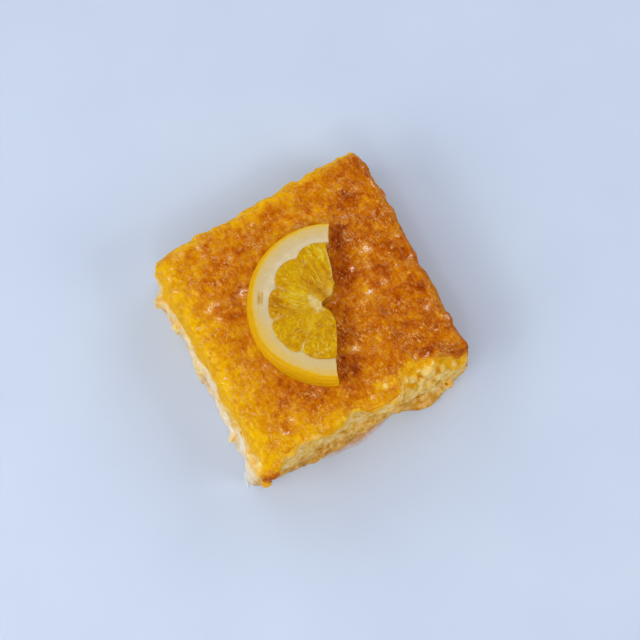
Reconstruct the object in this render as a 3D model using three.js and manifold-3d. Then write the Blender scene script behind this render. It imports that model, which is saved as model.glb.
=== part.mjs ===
// A square piece of syrup-soaked orange cake with half a slice of orange lying on its crust.
// Millimetres, +Z up. The cake's foot is flat on z = 0 and the origin is under the middle of the whole.
// Two solids: the cake, whose crust, crags, torn edge and scraps are its own relief, and the half slice.
import * as THREE from "three";
import { mergeVertices } from "three/addons/utils/BufferGeometryUtils.js";
import Module from "manifold-3d";

const wasm = await Module();
wasm.setup();

// The cake's block: plan corners of the crust and of the foot, which spreads a little, and the height.
const CAKE_HEIGHT = 36;
const CRUST_CORNERS = {
  backLeft: [-44.4, 51.2],
  backRight: [52.7, 50.5],
  frontRight: [47.4, -47.6],
  frontLeft: [-47.8, -44.4],
};
const FOOT_CORNERS = {
  backLeft: [-44.8, 52.2],
  backRight: [54.4, 52.4],
  frontRight: [48.8, -47.4],
  frontLeft: [-51.2, -45.0],
};
const BLOCK = { halfLength: 48, halfWidth: 48, edgeRadius: 3.4, reliefFrom: 0.8 };
const CAKE_STEPS = { length: 46, width: 46, height: 14 };
const BELOW_FOOT = 1; // how far the block is drawn past its foot before it is cut flat

// Relief of the crust and of the cut sides: size of the lumps and how far they stand.
const CRUST_SWELL = { size: 17, rise: 1.1 };
const CRUST_PUFFS = { size: 8, rise: 1.8 };
const CRUST_WRINKLES = { size: 4.8, rise: 1.1 };
const SIDE_WAVE = { size: 19, reach: 1.0 };
const SIDE_CRAGS = { size: 7, layer: 5.5, reach: 2.4 };

// Places where the front and left sides stand out or fall back: their x or y, how far and how wide.
const FRONT_CRUST_SWELLS = [
  { at: 8, out: 2.8, wide: 8 },
  { at: -4, out: -3.2, wide: 4.5 },
  { at: -26, out: -1.6, wide: 7 },
];
const FRONT_FOOT_SWELLS = [
  { at: -5, out: 3.4, wide: 16 },
  { at: 26.5, out: 5.4, wide: 9.5 },
  { at: 37, out: 1.2, wide: 5 },
  { at: 13, out: -0.5, wide: 5 },
  { at: -25, out: 1, wide: 10 },
];
const LEFT_FOOT_SWELLS = [
  { at: 43.5, out: 2.8, wide: 4 },
  { at: 33, out: 1.5, wide: 3.5 },
  { at: 8, out: 1.3, wide: 6 },
  { at: -22, out: 2.4, wide: 3.2 },
  { at: -41, out: 1.2, wide: 4 },
];
const LEFT_CRUST_SWELLS = [
  { at: 40, out: -1.4, wide: 4 },
  { at: -37, out: -0.8, wide: 5 },
];
const FOOT_SKIRT_HEIGHT = 12;

// The torn place: from these x on, the crust ends short of the front edge and the crumb slopes away.
const TEAR = { from: 15, to: 46, edge: -47, depth: 7.5, drop: 8.5, ragged: 1.6, fade: 5 };
const TORN_LUMPS = { size: 6, rise: 4 };

// Half slice of orange, in its own frame: y along the cut edge, x towards the open side.
const SLICE_THICKNESS = 6.5;
const SLICE_RADIUS = 32.3;
const SLICE_FLARE = 0.5; // the peel's lower rim stands out by this much
const SLICE_CENTRE = [8.35, -1.8];
const SLICE_TURN = THREE.MathUtils.degToRad(-27.7);
const SLICE_STEPS = { around: 64, out: 14, thick: 2 };
const CUT_NOTCH = [-2.9, 0]; // where the cut edge falls back beside the core
const CUT_ANGLE = { outer: 81.5, inner: 43.5, reach: 12 };
const CUT_RAGGED = { size: 0.11, turn: 1.6 };
const CORE = { at: [-5.3, -0.4], radius: 2.4 };
const FLESH_RADIUS = 24.4;
const MEMBRANE_ANGLES = [108.4, 153.2, 196.9, 250.3];
const MEMBRANE = { width: 1.1, depth: 0.55, notch: 1.5 };
const FLESH_SINK = 0.35;
const JUICE_SACS = { width: 2.6, length: 8, rise: 0.75 };
const SEAT_GAP = 0.3;
const SEAT_HEIGHT = 36.2; // level of the crust under the slice
const SEAT_FEATHER = 5;

const ease = (t) => {
  const c = Math.min(1, Math.max(0, t));
  return c * c * (3 - 2 * c);
};
const mix = (a, b, t) => a + (b - a) * t;
const bell = (t) => Math.exp(-t * t);

// A repeatable number from 0 to 1 for each point of a lattice.
function latticeValue(i, j, k) {
  let h = Math.imul(i, 374761393) + Math.imul(j, 668265263) + Math.imul(k, 1274126177);
  h = Math.imul(h ^ (h >>> 13), 1103515245);
  h = Math.imul(h ^ (h >>> 16), 2654435761);
  return ((h ^ (h >>> 15)) >>> 0) / 4294967296;
}

// Smooth noise from 0 to 1 between the lattice points.
function noise(x, y, z = 0) {
  const [i, j, k] = [Math.floor(x), Math.floor(y), Math.floor(z)];
  const [a, b, c] = [ease(x - i), ease(y - j), ease(z - k)];
  const edge = (dj, dk) => mix(latticeValue(i, j + dj, k + dk), latticeValue(i + 1, j + dj, k + dk), a);
  return mix(mix(edge(0, 0), edge(1, 0), b), mix(edge(0, 1), edge(1, 1), b), c);
}

// Rounded lumps with sharp creases between them, from 0 in a crease to 1 on a lump.
const puffs = (x, y, z = 0) => Math.abs(2 * noise(x, y, z) - 1);

// A closed mesh of position only, with its shared vertices merged, as a solid.
function solidFrom(geometry) {
  const bare = new THREE.BufferGeometry();
  bare.setAttribute("position", geometry.getAttribute("position").clone());
  bare.setIndex(geometry.getIndex());
  const merged = mergeVertices(bare, 1e-4);
  const vertProperties = new Float32Array(merged.getAttribute("position").array);
  const triVerts = new Uint32Array(merged.getIndex().array);
  return new wasm.Manifold(new wasm.Mesh({ numProp: 3, vertProperties, triVerts }));
}

function geometryFrom(solid) {
  const mesh = solid.getMesh();
  const geometry = new THREE.BufferGeometry();
  geometry.setAttribute("position", new THREE.BufferAttribute(new Float32Array(mesh.vertProperties), 3));
  geometry.setIndex(new THREE.BufferAttribute(new Uint32Array(mesh.triVerts), 1));
  geometry.computeVertexNormals();
  return geometry;
}

// Moves every vertex of a geometry by a function of its position.
function reshape(geometry, move) {
  const position = geometry.getAttribute("position");
  const point = new THREE.Vector3();
  for (let i = 0; i < position.count; i++) {
    point.fromBufferAttribute(position, i);
    position.setXYZ(i, ...move(point.x, point.y, point.z));
  }
  return geometry;
}

// Everything of the solid that lies above z = 0, with a flat foot there.
function cutFlat(solid) {
  const room = new THREE.BoxGeometry(400, 400, 200);
  room.translate(0, 0, 100);
  return solid.intersect(solidFrom(room));
}

// A point of the cake's plan in the half slice's own frame.
function inSliceFrame(x, y) {
  const [dx, dy] = [x - SLICE_CENTRE[0], y - SLICE_CENTRE[1]];
  const [c, s] = [Math.cos(-SLICE_TURN), Math.sin(-SLICE_TURN)];
  return [dx * c - dy * s, dx * s + dy * c];
}

// 1 under the half slice, falling to 0 within the feather round it.
function underSlice(x, y) {
  const [sx, sy] = inSliceFrame(x, y);
  const pastRim = Math.hypot(sx, sy) - (SLICE_RADIUS + SLICE_FLARE + 1);
  const pastCut = sx - 4;
  return 1 - ease(Math.max(pastRim, pastCut) / SEAT_FEATHER);
}

const swellAt = (swells, x) => swells.reduce((sum, s) => sum + s.out * bell((x - s.at) / s.wide), 0);

// How deep into the tear a point is: 0 on the crust, 1 at the front edge of the torn place.
function tornShare(x, y) {
  const along = ease((x - TEAR.from) / TEAR.fade) * ease((TEAR.to + TEAR.fade - x) / TEAR.fade);
  const ragged = TEAR.ragged * (puffs(x / 5, 3.5) + puffs(x / 2.6, 9.5) - 0.7);
  return along * ease((TEAR.edge + TEAR.depth - ragged - y) / TEAR.depth);
}

// Height of the crust over the foot at a point of the plan.
function crustHeight(x, y) {
  const swell = CRUST_SWELL.rise * (noise(x / CRUST_SWELL.size, y / CRUST_SWELL.size, 2.5) - 0.5) * 2;
  const puff = CRUST_PUFFS.rise * (puffs(x / CRUST_PUFFS.size, y / CRUST_PUFFS.size, 5.5) - 0.4);
  const wrinkle = CRUST_WRINKLES.rise * (puffs(x / CRUST_WRINKLES.size, y / CRUST_WRINKLES.size, 8.5) - 0.4);
  const baked = CAKE_HEIGHT + swell + puff + wrinkle;
  const seated = mix(baked, SEAT_HEIGHT, underSlice(x, y));
  const torn = tornShare(x, y);
  const crumbLumps = torn * TORN_LUMPS.rise * (puffs(x / TORN_LUMPS.size, y / TORN_LUMPS.size, 11.5) - 0.35);
  return seated - TEAR.drop * torn + crumbLumps;
}

// A point of the plain block with its edges and corners rounded.
function roundedBlock(x, y, z) {
  const { halfLength, halfWidth, edgeRadius } = BLOCK;
  const clamp = (v, limit) => Math.max(-limit, Math.min(limit, v));
  const core = [
    clamp(x, halfLength - edgeRadius),
    clamp(y, halfWidth - edgeRadius),
    Math.min(z, CAKE_HEIGHT - edgeRadius),
  ];
  const past = [x - core[0], y - core[1], z - core[2]];
  const length = Math.hypot(...past);
  const share = length === 0 ? 0 : Math.max(...past.map(Math.abs)) / length;
  return core.map((middle, axis) => middle + past[axis] * share);
}

// The block's plan stretched to the four corners, which go from foot to crust as t goes from 0 to 1.
function inPlan(x, y, t) {
  const [a, b] = [(x / BLOCK.halfLength + 1) / 2, (y / BLOCK.halfWidth + 1) / 2];
  const corner = (name, axis) => mix(FOOT_CORNERS[name][axis], CRUST_CORNERS[name][axis], t);
  return [0, 1].map((axis) =>
    mix(
      mix(corner("frontLeft", axis), corner("frontRight", axis), a),
      mix(corner("backLeft", axis), corner("backRight", axis), a),
      b,
    ),
  );
}

// How far the cut side stands out at a point, from its waves, its crags and the front edge's own swells.
function sideReach(x, y, z, facing) {
  const wave = SIDE_WAVE.reach * (noise(x / SIDE_WAVE.size, y / SIDE_WAVE.size, z / 30) - 0.5) * 2;
  const { size, layer, reach } = SIDE_CRAGS;
  const crag = reach * (puffs(x / size, y / size, z / layer) - 0.5);
  const [left, front] = facing.map((f) => ease(-f * 2 - 1));
  const crustShare = ease((z - 12) / (CAKE_HEIGHT - 12));
  const skirt = 1 - ease((z - 2) / FOOT_SKIRT_HEIGHT);
  const frontSwell = crustShare * swellAt(FRONT_CRUST_SWELLS, x) + skirt * swellAt(FRONT_FOOT_SWELLS, x);
  const leftSwell = crustShare * swellAt(LEFT_CRUST_SWELLS, y) + skirt * swellAt(LEFT_FOOT_SWELLS, y);
  return wave + crag + front * frontSwell + left * leftSwell;
}

function cakePoint(u, v, w) {
  const [bx, by, bz] = roundedBlock(u, v, w);
  const t = bz / CAKE_HEIGHT;
  const [px, py] = inPlan(bx, by, Math.max(0, t));
  const [ex, ey] = [bx / BLOCK.halfLength, by / BLOCK.halfWidth];
  const nearSide = ease((Math.max(Math.abs(ex), Math.abs(ey)) - BLOCK.reliefFrom) / (1 - BLOCK.reliefFrom));
  const facing = [ex ** 7, ey ** 7];
  const length = Math.hypot(...facing) || 1;
  const normal = facing.map((f) => f / length);
  const reach = nearSide * sideReach(px, py, bz, normal);
  const [x, y] = [px + normal[0] * reach, py + normal[1] * reach];
  return [x, y, t > 0 ? t * crustHeight(x, y) : bz];
}

function cakeBlock() {
  const { halfLength, halfWidth } = BLOCK;
  const tall = CAKE_HEIGHT + BELOW_FOOT;
  const block = new THREE.BoxGeometry(
    2 * halfLength,
    2 * halfWidth,
    tall,
    CAKE_STEPS.length,
    CAKE_STEPS.width,
    CAKE_STEPS.height,
  );
  block.translate(0, 0, tall / 2 - BELOW_FOOT);
  return cutFlat(solidFrom(reshape(block, cakePoint)));
}

// Scraps that stand out of the cake, the browned one at the front left corner with its tail first: their
// middle, half their length, width and thickness, the way their length points and how far it droops.
const SCRAPS = [
  { at: [-45.2, -44.4, 33.2], half: [5.6, 4.2, 2.4], heading: -20, droop: 4 },
  { at: [-47.4, -47.2, 31.4], half: [4.8, 1.9, 1.7], heading: -114, droop: 28 },
  { at: [36.4, -47.2, 8], half: [4.4, 2.6, 2.1], heading: -52, droop: 12 },
];
const SCRAP_UNEVEN = { size: 0.7, share: 0.5 };

function scrap({ at, half, heading, droop }) {
  const lump = new THREE.IcosahedronGeometry(1, 2);
  reshape(lump, (x, y, z) => {
    const [nx, ny, nz] = [x, y, z].map((v, axis) => v / SCRAP_UNEVEN.size + at[axis]);
    const uneven = 1 + SCRAP_UNEVEN.share * (noise(nx, ny, nz) - 0.5);
    return [x * half[0] * uneven, y * half[1] * uneven, z * half[2] * uneven];
  });
  lump.rotateY(THREE.MathUtils.degToRad(droop));
  lump.rotateZ(THREE.MathUtils.degToRad(heading));
  lump.translate(...at);
  return solidFrom(lump);
}

function cakeSolid() {
  return SCRAPS.reduce((cake, each) => cake.add(cutFlat(scrap(each))), cakeBlock());
}

// Distance from the cut's notch to the peel along an angle, for a peel of the given radius.
function toPeel(angle, radius) {
  const [nx, ny] = CUT_NOTCH;
  const along = nx * Math.cos(angle) + ny * Math.sin(angle);
  return -along + Math.sqrt(along * along - nx * nx - ny * ny + radius * radius);
}

// Height of the slice's upper face at a point of its own frame: pith, then flesh in segments, then the core.
function sliceFace(x, y) {
  const [cx, cy] = [x - CORE.at[0], y - CORE.at[1]];
  const fromCore = Math.hypot(cx, cy);
  const angle = Math.atan2(cy, cx);
  const toMembrane = MEMBRANE_ANGLES.map((degrees) => {
    const turn = angle - THREE.MathUtils.degToRad(degrees);
    return Math.cos(turn) > 0 ? fromCore * Math.abs(Math.sin(turn)) : fromCore;
  });
  const nearest = Math.min(...toMembrane);
  const fleshEdge = FLESH_RADIUS - MEMBRANE.notch * bell(nearest / 2);
  const flesh = ease((fleshEdge - Math.hypot(x, y)) / 0.8) * ease((fromCore - CORE.radius) / 1.2);
  const sacs = puffs((angle * 14) / JUICE_SACS.width, fromCore / JUICE_SACS.length, 3.5);
  const groove = MEMBRANE.depth * bell(nearest / MEMBRANE.width);
  return SLICE_THICKNESS + flesh * (JUICE_SACS.rise * (sacs - 0.35) - FLESH_SINK - groove);
}

function slicePoint(u, v, w) {
  const spread = v * SLICE_RADIUS;
  const cut = mix(CUT_ANGLE.outer, CUT_ANGLE.inner, bell(spread / CUT_ANGLE.reach));
  const cutEnd = u > 0.5 ? 5.5 : 1.5;
  const ragged = CUT_RAGGED.turn * (noise(cutEnd, v / CUT_RAGGED.size) - 0.5) * Math.abs(2 * u - 1) ** 6;
  const angle = THREE.MathUtils.degToRad(mix(360 - cut, cut, u) + ragged);
  const radius = SLICE_RADIUS + SLICE_FLARE * (1 - w);
  const out = v * toPeel(angle, radius);
  const [x, y] = [CUT_NOTCH[0] + out * Math.cos(angle), CUT_NOTCH[1] + out * Math.sin(angle)];
  return [x, y, w * sliceFace(x, y)];
}

function sliceSolid() {
  const innermost = 0.02; // the first ring's share of the way out, which leaves no pinched point
  const { around, out, thick } = SLICE_STEPS;
  const below = 0.1; // the share of its thickness drawn past its underside before it is cut flat
  const block = new THREE.BoxGeometry(1, 1 - innermost, 1 + below, around, out, thick);
  block.translate(0.5, (1 + innermost) / 2, (1 - below) / 2);
  return cutFlat(solidFrom(reshape(block, slicePoint)));
}

function named(name, solid, material) {
  const mesh = new THREE.Mesh(geometryFrom(solid), material);
  mesh.name = name;
  return mesh;
}

const cake = named(
  "cake",
  cakeSolid(),
  new THREE.MeshStandardMaterial({ color: 0xd18a1c, roughness: 0.35, metalness: 0 }),
);
const orangeHalfSlice = named(
  "orange_half_slice",
  sliceSolid(),
  new THREE.MeshStandardMaterial({ color: 0xdca92a, roughness: 0.4, metalness: 0 }),
);
orangeHalfSlice.position.set(...SLICE_CENTRE, SEAT_HEIGHT + SEAT_GAP);
orangeHalfSlice.rotation.z = SLICE_TURN;

// The middle of the whole's plan goes over the origin.
const part = new THREE.Group();
part.add(cake, orangeHalfSlice);
const middle = new THREE.Box3().setFromObject(part, true).getCenter(new THREE.Vector3());
part.position.set(-middle.x, -middle.y, 0);

export default part;
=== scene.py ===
"""A square piece of syrup-soaked orange cake with half a slice of orange on its crust.

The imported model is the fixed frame. The cake and the half slice are worked up from its two
solids: the cake's crust, crumb and torn edge are carved into a fine copy of it, and the slice is
peel and pith with five segments of flesh and a core set into them. A film and a bead of syrup
lie at the cake's foot. Lengths in this script are millimetres until a mesh is finished.
"""

import math
from itertools import product

import bmesh
import bpy
import numpy as np
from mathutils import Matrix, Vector
from mathutils.kdtree import KDTree


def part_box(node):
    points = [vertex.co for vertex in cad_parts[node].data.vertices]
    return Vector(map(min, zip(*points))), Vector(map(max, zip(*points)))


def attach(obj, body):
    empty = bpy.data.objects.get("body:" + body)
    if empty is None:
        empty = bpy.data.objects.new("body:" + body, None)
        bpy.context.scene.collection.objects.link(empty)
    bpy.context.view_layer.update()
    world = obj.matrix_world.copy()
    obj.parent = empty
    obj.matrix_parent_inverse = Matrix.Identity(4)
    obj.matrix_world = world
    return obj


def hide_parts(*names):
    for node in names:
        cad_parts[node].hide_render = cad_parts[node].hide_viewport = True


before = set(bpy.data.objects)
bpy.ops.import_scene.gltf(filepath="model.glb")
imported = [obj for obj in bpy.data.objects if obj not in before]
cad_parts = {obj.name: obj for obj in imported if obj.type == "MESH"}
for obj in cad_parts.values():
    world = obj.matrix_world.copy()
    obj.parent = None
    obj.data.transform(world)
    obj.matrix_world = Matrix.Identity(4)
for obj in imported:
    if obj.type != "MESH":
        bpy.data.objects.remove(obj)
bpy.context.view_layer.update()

MM = 0.001
CRUST_LEVEL = 36.0

# The half slice of orange, as it lies: its own x runs towards the open side, its y along the cut edge.
PEEL_RADIUS = 32.8
SLICE_TURN = math.radians(-27.7)
SLICE_LOW, SLICE_HIGH = (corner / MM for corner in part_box("orange_half_slice"))
SLICE_CENTRE = np.array([SLICE_LOW.x + PEEL_RADIUS, SLICE_HIGH.y - PEEL_RADIUS])

# The photograph's camera: where it looks, from which side, how steeply and from how far.
AIM_FROM_CENTRE = (-6.05, -2.71)
AIM = Vector((SLICE_CENTRE[0] + AIM_FROM_CENTRE[0], SLICE_CENTRE[1] + AIM_FROM_CENTRE[1], CRUST_LEVEL))
CAMERA_AZIMUTH = math.radians(-31.0)
CAMERA_ELEVATION = math.radians(76.1)
CAMERA_DISTANCE = 800.0
CAMERA_LENS = 112.5
CAMERA_SENSOR = 36.0
CAMERA_CLIP = 10.0


# Repeatable noise over points in space

CELL_STEPS = np.array([374761393, 668265263, 1274126177], np.int64)
SEED_STEP = 974634777
MIXERS = ((13, 1103515245), (16, 1274126177))
LAST_SHIFT = 15
LOW_32_BITS = 0xFFFFFFFF
LOW_16_BITS = 0xFFFF
FAR = 9.0


def lattice(cells, seed):
    """A repeatable number from 0 to 1 for each whole-number cell."""
    mixed = ((cells.astype(np.int64) * CELL_STEPS).sum(-1) + seed * SEED_STEP) & LOW_32_BITS
    for shift, factor in MIXERS:
        mixed = ((mixed ^ (mixed >> shift)) * factor) & LOW_32_BITS
    return ((mixed ^ (mixed >> LAST_SHIFT)) & LOW_16_BITS) / LOW_16_BITS


def ease(t):
    """From 0 to 1 as t goes from 0 to 1, with soft ends."""
    c = np.clip(t, 0.0, 1.0)
    return c * c * (3.0 - 2.0 * c)


def noise(points, size, seed=0):
    """Smooth noise from 0 to 1, with lumps of the given size."""
    scaled = points / size
    cell = np.floor(scaled)
    part = ease(scaled - cell)
    total = np.zeros(len(points))
    for corner in product((0, 1), repeat=3):
        weight = np.where(np.array(corner) == 1, part, 1.0 - part).prod(-1)
        total += weight * lattice(cell + np.array(corner), seed)
    return total


def puffs(points, size, seed=0):
    """Rounded lumps with sharp creases between them, from 0 in a crease to 1 on a lump."""
    return np.abs(2.0 * noise(points, size, seed) - 1.0)


def ridges(points, size, seed=0):
    """Thin raised threads, from 0 between them to 1 on one."""
    return 1.0 - puffs(points, size, seed)


def jitter(points, size, seed):
    """A push along each axis from -0.5 to 0.5, much the same for points closer than a size."""
    return np.stack([noise(points, size, seed + axis) - 0.5 for axis in range(3)], -1)


def nearest_spot(points, size, seed=0):
    """For spots scattered one to a cell: how many cells away the nearest is, and that spot's own number."""
    scaled = points / size
    cell = np.floor(scaled)
    best = np.full(len(points), FAR)
    number = np.zeros(len(points))
    for step in product((-1, 0, 1), repeat=3):
        other = cell + np.array(step)
        spot = other + np.stack([lattice(other, seed + axis) for axis in range(3)], -1)
        away = np.linalg.norm(scaled - spot, axis=-1)
        nearer = away < best
        number = np.where(nearer, lattice(other, seed + 7), number)
        best = np.where(nearer, away, best)
    return best, number


def rotated(x, y, angle):
    """Flat coordinates turned anticlockwise by an angle."""
    c, s = math.cos(angle), math.sin(angle)
    return x * c - y * s, x * s + y * c


def fade(away, reach):
    """1 at no distance, fading to 0 a reach away."""
    return np.exp(-((away / reach) ** 2))


def near(points, spot, reach):
    """1 at a spot, fading to 0 a reach away from it."""
    return np.exp(-((points - np.array(spot)) ** 2 / np.array(reach) ** 2).sum(-1))


# Meshes as arrays of points, in millimetres

MERGE_DISTANCE = 0.001
FOOT_BAND = 0.35
FLAT_WITHIN = 0.01


def points_of(mesh):
    flat = np.empty(len(mesh.vertices) * 3, np.float32)
    mesh.vertices.foreach_get("co", flat)
    return flat.reshape(-1, 3).astype(float) / MM


def normals_of(mesh):
    flat = np.empty(len(mesh.vertices) * 3, np.float32)
    mesh.vertex_normals.foreach_get("vector", flat)
    return flat.reshape(-1, 3).astype(float)


def set_points(mesh, points):
    mesh.vertices.foreach_set("co", (points * MM).astype(np.float32).ravel())
    mesh.update()


def paint(mesh, name, values):
    """Keeps a number for each vertex, which a material can read by its name."""
    attribute = mesh.attributes.new(name, "FLOAT", "POINT")
    attribute.data.foreach_set("value", np.asarray(values, np.float32))


def finished_piece(name, mesh, material, node=None):
    """Links a mesh as a piece of the object, smooth shaded, in place of a solid where it names one."""
    piece = bpy.data.objects.new(name, mesh)
    bpy.context.scene.collection.objects.link(piece)
    mesh.materials.clear()
    mesh.materials.append(material)
    mesh.polygons.foreach_set("use_smooth", [True] * len(mesh.polygons))
    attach(piece, "root")
    if node:
        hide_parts(node)
    return piece


def new_mesh(name, operator, **settings):
    """A mesh of one basic shape."""
    shape = bmesh.new()
    operator(shape, **settings)
    mesh = bpy.data.meshes.new(name)
    shape.to_mesh(mesh)
    shape.free()
    return mesh


def reshape(mesh, change):
    """Makes a change to a mesh's own shape."""
    shape = bmesh.new()
    shape.from_mesh(mesh)
    change(shape)
    shape.to_mesh(mesh)
    shape.free()


def fine_copy(node, voxel):
    """A copy of a solid as one even skin of small squares."""
    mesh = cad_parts[node].data.copy()
    reshape(mesh, lambda shape: bmesh.ops.remove_doubles(shape, verts=shape.verts, dist=MERGE_DISTANCE * MM))
    maker = bpy.data.objects.new("fine_copy", mesh)
    bpy.context.scene.collection.objects.link(maker)
    remesh = maker.modifiers.new("even_skin", "REMESH")
    remesh.mode = "VOXEL"
    remesh.voxel_size = voxel * MM
    ready = bpy.context.evaluated_depsgraph_get()
    fine = bpy.data.meshes.new_from_object(maker.evaluated_get(ready))
    bpy.data.objects.remove(maker)
    return fine


def smooth_skin(mesh, rounds):
    """Evens out the steps of a fine copy."""
    def smoothed(shape):
        for _ in range(rounds):
            bmesh.ops.smooth_vert(
                shape, verts=shape.verts, factor=0.5, use_axis_x=True, use_axis_y=True, use_axis_z=True
            )

    reshape(mesh, smoothed)


def one_flat_foot(mesh):
    """Lays the underside flat on the ground and makes it one face."""
    points = points_of(mesh)
    points[points[:, 2] < FOOT_BAND, 2] = 0.0
    set_points(mesh, points)

    def joined(shape):
        foot = [f for f in shape.faces if all(v.co.z < FLAT_WITHIN * MM for v in f.verts)]
        bmesh.ops.dissolve_faces(shape, faces=foot, use_verts=True)

    reshape(mesh, joined)


# Materials

SYRUP_GLOSS = (1.0, 0.82, 0.22, 1.0)
SCREEN_WHITE = 255.0
SCREEN_KNEE = 0.04045
SCREEN_SLOPE = 12.92
SCREEN_OFFSET = 0.055
SCREEN_GAMMA = 2.4


def lit(part):
    """One part of a screen colour as the light it stands for."""
    if part <= SCREEN_KNEE:
        return part / SCREEN_SLOPE
    return ((part + SCREEN_OFFSET) / (1.0 + SCREEN_OFFSET)) ** SCREEN_GAMMA


def linear(*colour):
    """A colour as seen on a screen, 0 to 255, as the light it stands for."""
    return (*(lit(part / SCREEN_WHITE) for part in colour), 1.0)


class Finish:
    """A material's nodes, with its surface shader and, over it, a second one where it has two surfaces."""

    def __init__(self, name, **constants):
        self.material = bpy.data.materials.new(name)
        self.material.use_nodes = True
        self.tree = self.material.node_tree
        self.tree.nodes.clear()
        self.shader = self.node("ShaderNodeBsdfPrincipled", **constants)
        self.output = self.node("ShaderNodeOutputMaterial")
        self.tree.links.new(self.shader.outputs[0], self.output.inputs[0])

    def node(self, kind, settings=None, **values):
        """A node of a type, with its settings first and then the values or links of its sockets."""
        made = self.tree.nodes.new(kind)
        for key, value in (settings or {}).items():
            setattr(made, key, value)
        for key, value in values.items():
            self.give(made.inputs[key.replace("_", " ")], value)
        return made

    def give(self, socket, value):
        if isinstance(value, Value):
            self.tree.links.new(value.socket, socket)
        else:
            socket.default_value = value

    def second_surface(self, share, **constants):
        """A second shader over the first by a share, as crust over crumb."""
        upper = self.node("ShaderNodeBsdfPrincipled", **constants)
        mixed = self.node("ShaderNodeMixShader", Fac=share)
        for shader, socket in ((self.shader, mixed.inputs[1]), (upper, mixed.inputs[2])):
            self.tree.links.new(shader.outputs[0], socket)
        self.tree.links.new(mixed.outputs[0], self.output.inputs[0])
        return upper

    def maths(self, operation, *values):
        made = self.tree.nodes.new("ShaderNodeMath")
        made.operation = operation
        for socket, value in zip(made.inputs, values):
            self.give(socket, value)
        return Value(self, made.outputs[0])

    def place(self):
        return Value(self, self.node("ShaderNodeTexCoord").outputs["Object"])

    def painted(self, name):
        made = self.node("ShaderNodeAttribute", {"attribute_name": name})
        return Value(self, made.outputs["Fac"])

    def noise(self, size, detail=2.0, roughness=0.5, turn=0.0, stretch=1.0, tall=1.0):
        """Noise from 0 to 1 with lumps of a size in millimetres, drawn out along a direction or upwards."""
        spot = self.place()
        if stretch != 1.0 or tall != 1.0:
            drawn = self.node(
                "ShaderNodeMapping",
                {"vector_type": "TEXTURE"},
                Vector=spot,
                Rotation=(0.0, 0.0, math.radians(turn)),
                Scale=(stretch, 1.0, tall),
            )
            spot = Value(self, drawn.outputs[0])
        made = self.node(
            "ShaderNodeTexNoise", Vector=spot, Scale=1.0 / (size * MM), Detail=detail, Roughness=roughness
        )
        return Value(self, made.outputs["Fac"])

    def cells(self, size, feature="F1"):
        """Distance from 0 to 1 in cells of a size in millimetres."""
        made = self.node(
            "ShaderNodeTexVoronoi",
            {"feature": feature},
            Vector=self.place(),
            Scale=1.0 / (size * MM),
        )
        return Value(self, made.outputs["Distance"])

    def between(self, value, low, high, start=0.0, end=1.0):
        """The value from low to high spread smoothly from start to end."""
        made = self.node(
            "ShaderNodeMapRange",
            {"interpolation_type": "SMOOTHSTEP"},
            Value=value,
            From_Min=low,
            From_Max=high,
            To_Min=start,
            To_Max=end,
        )
        return Value(self, made.outputs[0])

    def mask(self, low, high, *grain, **drawn_out):
        """Noise of a grain, spread smoothly from 0 at a low value to 1 at a high one."""
        return self.between(self.noise(*grain, **drawn_out), low, high)

    def blend(self, first, second, share):
        """One colour over another by a share."""
        made = self.node("ShaderNodeMix", {"data_type": "RGBA"})
        for index, value in ((0, share), (6, first), (7, second)):
            self.give(made.inputs[index], value)
        return Value(self, made.outputs[2])

    def ramp(self, value, stops):
        """A colour for each stretch of a value, from its stops."""
        made = self.tree.nodes.new("ShaderNodeValToRGB")
        spare = made.color_ramp.elements
        while len(spare) < len(stops):
            spare.new(0.5)
        for element, (position, *colour) in zip(spare, stops):
            element.position = position
            element.color = linear(*colour)
        self.give(made.inputs[0], value)
        return Value(self, made.outputs[0])

    def bump(self, height, depth, strength=1.0):
        """Fine relief of a depth in millimetres."""
        made = self.node("ShaderNodeBump", Height=height, Distance=depth * MM, Strength=strength)
        lie = Value(self, made.outputs[0])
        self.give(self.shader.inputs["Normal"], lie)
        return lie


class Value:
    """A socket's value, which adds, subtracts and multiplies by new Math nodes."""

    def __init__(self, finish, socket):
        self.finish = finish
        self.socket = socket

    def __add__(self, other):
        return self.finish.maths("ADD", self, other)

    def __sub__(self, other):
        return self.finish.maths("SUBTRACT", self, other)

    def __rsub__(self, other):
        return self.finish.maths("SUBTRACT", other, self)

    def __mul__(self, other):
        return self.finish.maths("MULTIPLY", self, other)

    __radd__ = __add__
    __rmul__ = __mul__


CRUST_TONES = (
    (0.0, 238, 182, 0), (0.25, 222, 153, 0), (0.5, 204, 118, 0), (0.72, 182, 86, 0), (1.0, 142, 46, 0),
)
CRUMB_TONES = (
    (0.2, 186, 124, 10), (0.35, 232, 172, 44), (0.47, 250, 197, 96), (0.62, 255, 219, 148),
    (0.8, 255, 236, 206),
)
AMBER_TONES = ((0.28, 172, 106, 8), (0.46, 218, 156, 56), (0.68, 246, 202, 120))
TIN_SIDE_TONES = ((0.3, 214, 138, 14), (0.7, 164, 80, 2))
FLUFF_TONES = ((0.3, 232, 178, 48), (0.62, 252, 218, 138))
GOLD_TONES = ((0.3, 226, 150, 0), (0.7, 250, 196, 40))
SCORCHED = linear(138, 48, 0)
# Colour of the painted glints on the crust
PAINTED_GLINT = linear(246, 182, 108)
# Colour of the painted highlight pools on the crust
POOL_HIGHLIGHT = linear(252, 226, 204)
PALER_CRUMB = linear(250, 244, 238)
# Brighter yellow painted onto steep crust as light
LIT_STEEP_CRUST = linear(252, 178, 0)
GLINT_TURN = 104.0
CROSSING_TURN = 44.0


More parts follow.
